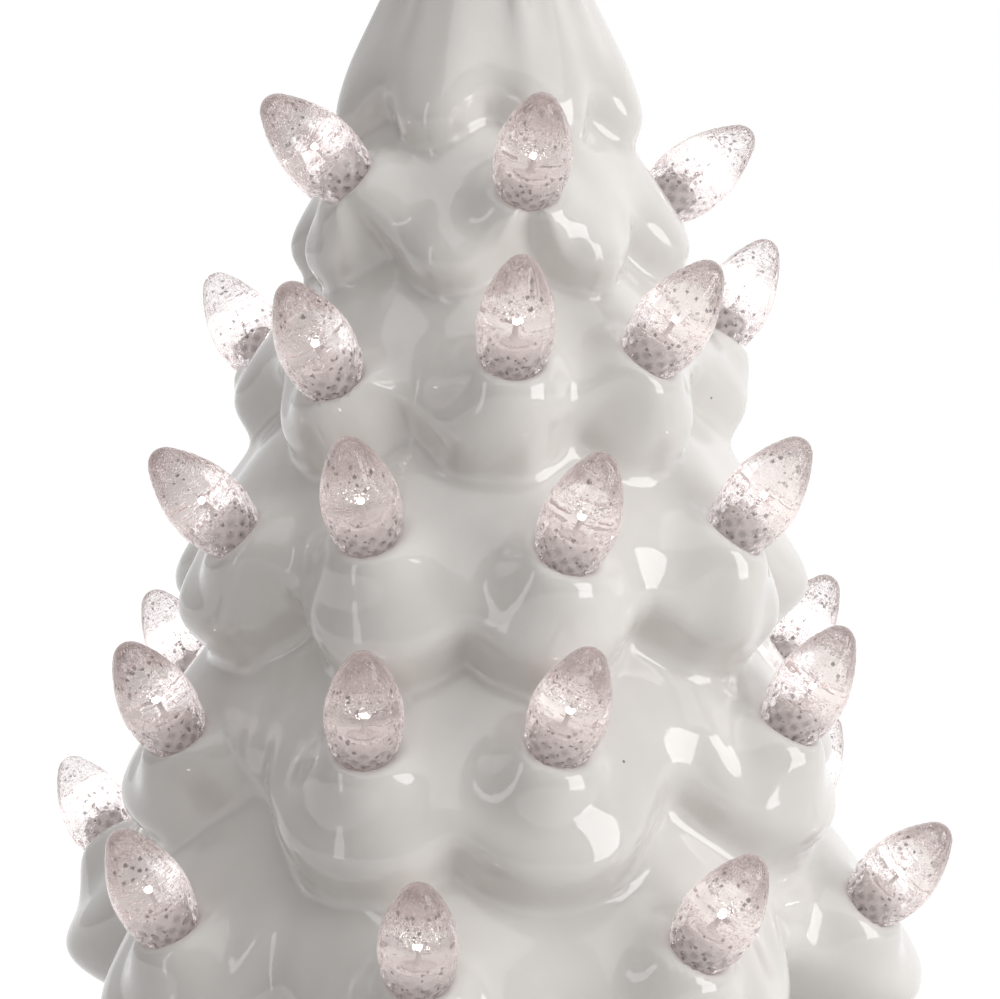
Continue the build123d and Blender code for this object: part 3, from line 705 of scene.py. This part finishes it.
class TREE_OT_bulbs(bpy.types.Operator):
    """Mould the clear bulbs, one row at a time"""
    bl_idname = "glazed_tree.bulbs"
    bl_label = "Clear bulbs"

    def execute(self, context):
        finish = context.scene.tree_finish
        egg = curve_through([(w * BULB_RADIUS, l * BULB_LENGTH) for l, w in zip(BULB_LEVELS, BULB_WIDTHS)])
        # Solid above its foot: the holder and the lamp look potted in it, and the bead shows as a point
        outline = [(NECK_RADIUS, -NECK_DEPTH), (NECK_RADIUS, -0.6)] + egg + [
            (0.0, 0.6), (2.8, 0.5), (4.4, 0.0), (NECK_BORE, -0.8), (NECK_BORE, -NECK_DEPTH)]
        outline = [(radius * BULB_FIT, max(level * BULB_FIT - BULB_SINK, -NECK_DEPTH))
                   for radius, level in outline]
        pattern = turned("bulb_pattern", outline, BULB_STEPS)
        mark(pattern, "crackle", self.crackle)
        # Painted shade: the diamonds near the foot are tinted dark
        mark(pattern, "facet", lambda x, y, level: DIAMOND_PAINTED_SHADE * self.diamond(x, y, level))
        # Painted glow: the acrylic emits light all over, most at the lamp's level
        mark(pattern, "painted_halo", lambda x, y, level: PAINTED_HALO_LEAST + PAINTED_HALO_GAIN * math.exp(
            -((level - PAINTED_HALO_LEVEL) / PAINTED_HALO_SPREAD) ** 2))
        mark(pattern, "frost", lambda x, y, level: NECK_ROUGH if self.inner(x, y, level) else BULB_ROUGH)
        self.hammer(pattern)
        smooth(pattern, 50)
        material = acrylic_material("clear_crackled_acrylic", list(finish.bulb_colour), linear("#FFDDD9"),
                                    painted_glow_level=0.08, cell_size=0.0017)
        for row in range(ROWS):
            name = "bulbs_row_%d" % (row + 1)
            piece = copies("clear_" + name, pattern, socket_frames(row))
            finish_piece(piece, material, "bulb_clear", "tree", name)
        discard(pattern)
        return {"FINISHED"}

    def inner(self, x, y, level):
        """True for the neck and the foot, which stay plain."""
        return (math.hypot(x, y) < NECK_BORE + 0.2 and level < BULB_LENGTH * 0.7) or level < 0.5

    def crackle(self, x, y, level):
        """How crackled the acrylic is: less at the tip and in front of the lamp."""
        if self.inner(x, y, level):
            return 0.0
        lamp = math.exp(-((level - CLEAR_LEVEL) / 3.5) ** 4)
        return max(0.3, min(1.0, (BULB_LENGTH - level) / 9)) * (1 - lamp)

    def diamond(self, x, y, level):
        """Share of a diamond facet: two rows of them above the foot."""
        if self.inner(x, y, level):
            return 0.0
        turn = math.atan2(y, x)
        turn, rise = DIAMOND_TURNS * turn, DIAMOND_PITCH * level
        net = abs(math.sin(turn + rise)) * abs(math.sin(turn - rise))
        return min(1.0, max(0.0, net - 0.3) / 0.4) * max(0.0, min(1.0, (DIAMOND_TOP - level) / 4))

    def hammer(self, piece):
        """Dents the skin: small dents in the middle, larger diamonds near the foot, a plain tip."""
        for vertex in piece.data.vertices:
            x, y, level = (c / MM for c in vertex.co)
            if self.inner(x, y, level):
                continue
            reach, turn = math.hypot(x, y), math.atan2(y, x)
            plain = max(0.0, min(1.0, (BULB_LENGTH - level - 2) / 5))
            dents = math.sin(13 * turn + level * 1.1) * math.sin(level * 1.6 - 5 * turn)
            lamp = 0.9 * math.exp(-((level - CLEAR_LEVEL) / 5) ** 2)
            dip = (DIAMOND_DIP * self.diamond(x, y, level) + DENT_DIP * (1 + dents) * (1 - lamp)) * plain
            vertex.co.x *= 1 - dip / max(reach, 1)
            vertex.co.y *= 1 - dip / max(reach, 1)


class TREE_OT_lamps(bpy.types.Operator):
    """Set the lit lamps, their holders and their leads"""
    bl_idname = "glazed_tree.lamps"
    bl_label = "Lamps and leads"

    def execute(self, context):
        finish = context.scene.tree_finish
        lit = lamp_material("lit_lamp_epoxy", list(finish.light_colour), finish.lamp_level)
        top = LED_SEAT + LED_LENGTH
        bead = top - LED_BEAD_DROP
        outline = [(0.0, LED_SEAT), (LED_RADIUS, LED_SEAT), (LED_RADIUS, LED_SEAT + 0.5),
                   (2.2, LED_SEAT + 0.7), (0.9, LED_SEAT + 1.1), (0.5, LED_SEAT + 2.2),
                   (0.4, bead - 0.9), (0.5, bead - 0.6), (0.65, bead - 0.25), (0.65, bead + 0.25),
                   (0.5, bead + 0.6), (0.25, bead + 0.8), (0.12, bead + 1.6), (0.0, top)]
        pattern = smooth(turned("lamp_pattern", outline, LAMP_STEPS), 40)
        mark(pattern, "glow", lambda x, y, level: 1.0 if abs(level - bead) < LED_BEAD_HALF else 0.0)
        holder = moulded_material("grey_lamp_holder", linear("#D2CBC9"), 0.0009, 0.5)
        jacket = moulded_material("white_wire_jacket", linear("#D9D8D3"), 0.0008, 0.5)
        for row in range(ROWS):
            number = str(row + 1)
            piece = copies("lamp_lights_row_" + number, pattern, socket_frames(row))
            finish_piece(piece, lit, "led_light", "tree", "leds_row_" + number)
            dress("led_holders_row_" + number, holder)
            dress("led_leads_row_" + number, jacket)
        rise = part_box("star_led")[0].z / MM - LED_SEAT
        piece = copies("star_lamp_light", pattern, [Matrix.Translation((0, 0, rise * MM))])
        finish_piece(piece, lit, "led_light", "tree", "star_led")
        dress("star_led_holder", holder)
        dress("trunk_cable", jacket)
        discard(pattern)
        return {"FINISHED"}


class TREE_OT_star(bpy.types.Operator):
    """Cut the clear star topper: ten facets a side, a collar and a bored stem"""
    bl_idname = "glazed_tree.star"
    bl_label = "Star topper"

    def execute(self, context):
        finish = context.scene.tree_finish
        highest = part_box("star_topper")[1]
        middle = highest.z / MM - STAR_RADIUS
        fresh()
        bpy.ops.mesh.primitive_cylinder_add(vertices=10, radius=0.02, depth=0.002, end_fill_type="TRIFAN")
        star = start("clear_star_topper")
        for vertex in star.data.vertices:
            x, y, z = vertex.co
            side = 1 if z > 0 else -1
            if math.hypot(x, y) < 0.001:
                vertex.co = (0, side * (highest.y - 0.0002), middle * MM)
                continue
            step = round(math.degrees(math.atan2(x, y)) / STAR_STEP)
            reach = (STAR_RADIUS - 0.1) * (STAR_NOTCH if step % 2 else 1)
            turn = math.radians(step * STAR_STEP)
            vertex.co = (reach * math.sin(turn) * MM, side * 0.0006, (middle + reach * math.cos(turn)) * MM)
        merged(star)
        soften = star.modifiers.new("soften", "BEVEL")
        soften.width, soften.segments, soften.limit_method = 0.0004, 2, "ANGLE"
        bpy.context.view_layer.objects.active = star
        bpy.ops.object.modifier_apply(modifier=soften.name)
        foot = [(STEM_BORE, CROWN - 9.4), (4.1, CROWN - 9.4), (STEM_RADIUS, CROWN - 9.0),
                (STEM_RADIUS, CROWN), (7.2, CROWN), (COLLAR_RADIUS, CROWN + 0.4),
                (COLLAR_RADIUS, CROWN + 2.4), (6.9, CROWN + 3.0), (4.4, CROWN + 3.2),
                (STEM_RADIUS, CROWN + 3.6), (STEM_RADIUS, middle - 6.0), (0.0, middle - 6.0),
                (0.0, CROWN + 3.0), (STEM_BORE, CROWN + 3.0)]
        stem = turned("star_stem", foot, STEM_STEPS)
        union = star.modifiers.new("union", "BOOLEAN")
        union.operation, union.object, union.solver = "UNION", stem, "EXACT"
        fresh()
        bpy.context.view_layer.objects.active = star
        star.select_set(True)
        bpy.ops.object.modifier_apply(modifier=union.name)
        discard(stem)
        smooth(star, 20)
        mark(star, "crackle", lambda x, y, level: 0.35)
        mark(star, "frost", lambda x, y, level: 0.05)
        mark(star, "facet", lambda x, y, level: 0.0)
        # Painted glow: the whole star emits a faint even glow, though only its lamp is lit
        mark(star, "painted_halo", lambda x, y, level: 1.0)
        material = acrylic_material("clear_star_acrylic", list(finish.bulb_colour), linear("#FFE6E2"),
                                    painted_glow_level=0.03, cell_size=0.0030)
        finish_piece(star, material, "star_clear", "star", "star_topper")
        return {"FINISHED"}


class TREE_OT_battery(bpy.types.Operator):
    """Finish the battery housing, its door, cells and contacts"""
    bl_idname = "glazed_tree.battery"
    bl_label = "Battery housing"

    def execute(self, context):
        dress("battery_housing", moulded_material("housing_plastic_grain", linear("#D3D1CC"), 0.0007, 0.5))
        dress("battery_door", moulded_material("door_plastic_grain", linear("#CECCC7"), 0.0007, 0.48))
        steel = plated_material("plated_spring_steel", linear("#B9B9B5"))
        dress("hinge_pin", steel)
        dress("cell_contacts", steel)
        jacket = cell_material("plain_cell_jacket")
        for number in (1, 2, 3):
            dress("cell_%d" % number, jacket)
        return {"FINISHED"}


class TREE_OT_switch(bpy.types.Operator):
    """Finish the slide switch and the circuit board"""
    bl_idname = "glazed_tree.switch"
    bl_label = "Switch and board"

    def execute(self, context):
        dress("switch_body", moulded_material("black_switch_plastic", linear("#2B2B2D"), 0.0006, 0.42))
        dress("switch_knob", moulded_material("black_knob_plastic", linear("#202022"), 0.0005, 0.36))
        dress("circuit_board", board_material("green_board_laminate"))
        return {"FINISHED"}


class TREE_OT_stage(bpy.types.Operator):
    """Set the pale floor, the window light and the camera"""
    bl_idname = "glazed_tree.stage"
    bl_label = "Stage"

    def window(self, name, place, size, power):
        """A soft window-shaped lamp that looks at the tree."""
        fresh()
        bpy.ops.object.light_add(type="AREA", location=place)
        lamp = bpy.context.object
        lamp.name = name
        lamp.data.shape = "RECTANGLE"
        lamp.data.size, lamp.data.size_y = size
        lamp.data.energy = power
        lamp.rotation_euler = (Vector(WINDOW_AIM) - Vector(place)).to_track_quat("-Z", "Y").to_euler()

    def execute(self, context):
        stage = context.scene.tree_stage
        scene = context.scene
        fresh()
        bpy.ops.mesh.primitive_plane_add(size=FLOOR_SIZE, location=(0, 0, -FLOOR_DROP))
        floor = start("pale_floor")
        material, tree, shader, place = new_material("pale_studio_floor")
        cloth = node(tree, "ShaderNodeTexNoise", [("Vector", place), ("Scale", 1 / 0.4)])
        shade = node(tree, "ShaderNodeMix", [("Factor", cloth.outputs["Fac"]), (6, linear("#C4C3C1")),
                                             (7, linear("#CBCAC8"))], data_type="RGBA")
        put(tree, shader, Base_Color=shade.outputs[2], Roughness=0.9)
        path = node(tree, "ShaderNodeLightPath")
        seen = node(tree, "ShaderNodeMath", [(0, path.outputs["Is Camera Ray"]),
                                             (1, path.outputs["Is Glossy Ray"])], operation="MAXIMUM")
        seen = node(tree, "ShaderNodeMath", [(0, seen.outputs[0]), (1, path.outputs["Is Transmission Ray"])],
                    operation="MAXIMUM")
        share = node(tree, "ShaderNodeMath", [(0, seen.outputs[0]), (1, FLOOR_WHITE)], operation="MULTIPLY")
        white = node(tree, "ShaderNodeEmission", [("Color", (1, 1, 1, 1)), ("Strength", FLOOR_STRENGTH)])
        mix = node(tree, "ShaderNodeMixShader", [(0, share.outputs[0]), (1, shader.outputs[0]),
                                                 (2, white.outputs[0])])
        # Seen from under the table the floor is clear, so that the base can be looked at
        under = node(tree, "ShaderNodeNewGeometry").outputs["Backfacing"]
        clear = node(tree, "ShaderNodeBsdfTransparent")
        both = node(tree, "ShaderNodeMixShader", [(0, under), (1, mix.outputs[0]), (2, clear.outputs[0])])
        tree.links.new(both.outputs[0], tree.nodes["Material Output"].inputs["Surface"])
        floor.data.materials.append(material)

        world = bpy.data.worlds.new("white_studio")
        scene.world = world
        world.use_nodes = True
        tree = world.node_tree
        back = tree.nodes["Background"]
        back.inputs["Color"].default_value = (1, 1, 1, 1)
        path = node(tree, "ShaderNodeLightPath")
        seen = node(tree, "ShaderNodeMath", [(0, path.outputs["Is Camera Ray"]),
                                             (1, path.outputs["Is Transmission Ray"])], operation="MAXIMUM")
        # The white backdrop behind the tree is brighter than the dim room in front of it
        turned_to = node(tree, "ShaderNodeTexCoord").outputs["Generated"]
        ways = node(tree, "ShaderNodeSeparateXYZ", [("Vector", turned_to)])
        room = node(tree, "ShaderNodeMapRange", [
            ("Value", ways.outputs["Y"]), ("From Min", 0.05), ("From Max", 0.65),
            ("To Min", ROOM[0]), ("To Max", ROOM[1])])
        # The side away from the window is dimmer
        side = node(tree, "ShaderNodeMapRange", [
            ("Value", ways.outputs["X"]), ("From Min", -0.9), ("From Max", 0.5),
            ("To Min", SIDES[0]), ("To Max", SIDES[1])])
        room = node(tree, "ShaderNodeMath", [(0, room.outputs[0]), (1, side.outputs[0])],
                    operation="MULTIPLY")
        level = node(tree, "ShaderNodeMath", [(0, room.outputs[0]), (1, seen.outputs[0])],
                     operation="MAXIMUM")
        tree.links.new(level.outputs[0], back.inputs["Strength"])

        for name, place, size, share in WINDOWS:
            self.window(name, place, size, stage.key_power * share)

        camera = bpy.data.cameras.new("camera")
        camera.sensor_width = SENSOR
        camera.lens = LENS
        camera.clip_start = 0.01
        seat = bpy.data.objects.new("camera", camera)
        scene.collection.objects.link(seat)
        rise = stage.view_rise
        aim = Vector((VIEW_ASIDE, 0, stage.view_height))
        seat.location = aim + Vector((0, -math.cos(rise), math.sin(rise))) * stage.view_distance
        seat.rotation_euler = (math.pi / 2 - rise, 0, 0)
        scene.camera = seat
        scene.view_settings.view_transform = "Standard"
        return {"FINISHED"}


STEPS = (TREE_OT_body, TREE_OT_base, TREE_OT_bulbs, TREE_OT_lamps, TREE_OT_star, TREE_OT_battery,
         TREE_OT_switch, TREE_OT_stage)


class TREE_PT_panel(bpy.types.Panel):
    """Settings of the tree, and a button for each group of its pieces"""
    bl_idname = "TREE_PT_panel"
    bl_label = "Glazed tree"
    bl_space_type = "VIEW_3D"
    bl_region_type = "UI"
    bl_category = "Glazed tree"

    def draw(self, context):
        for group in (context.scene.tree_finish, context.scene.tree_stage):
            for key in group.__annotations__:
                self.layout.prop(group, key)
        for step in STEPS:
            self.layout.operator(step.bl_idname)


CLASSES = (TreeFinish, TreeStage) + STEPS + (TREE_PT_panel,)


def register():
    for item in CLASSES:
        bpy.utils.register_class(item)
    bpy.types.Scene.tree_finish = bpy.props.PointerProperty(type=TreeFinish)
    bpy.types.Scene.tree_stage = bpy.props.PointerProperty(type=TreeStage)


def unregister():
    del bpy.types.Scene.tree_stage
    del bpy.types.Scene.tree_finish
    for item in reversed(CLASSES):
        bpy.utils.unregister_class(item)


def main():
    register()
    bpy.ops.glazed_tree.body()
    bpy.ops.glazed_tree.base()
    bpy.ops.glazed_tree.bulbs()
    bpy.ops.glazed_tree.lamps()
    bpy.ops.glazed_tree.star()
    bpy.ops.glazed_tree.battery()
    bpy.ops.glazed_tree.switch()
    bpy.ops.glazed_tree.stage()
    fresh()


if __name__ == "__main__":
    main()
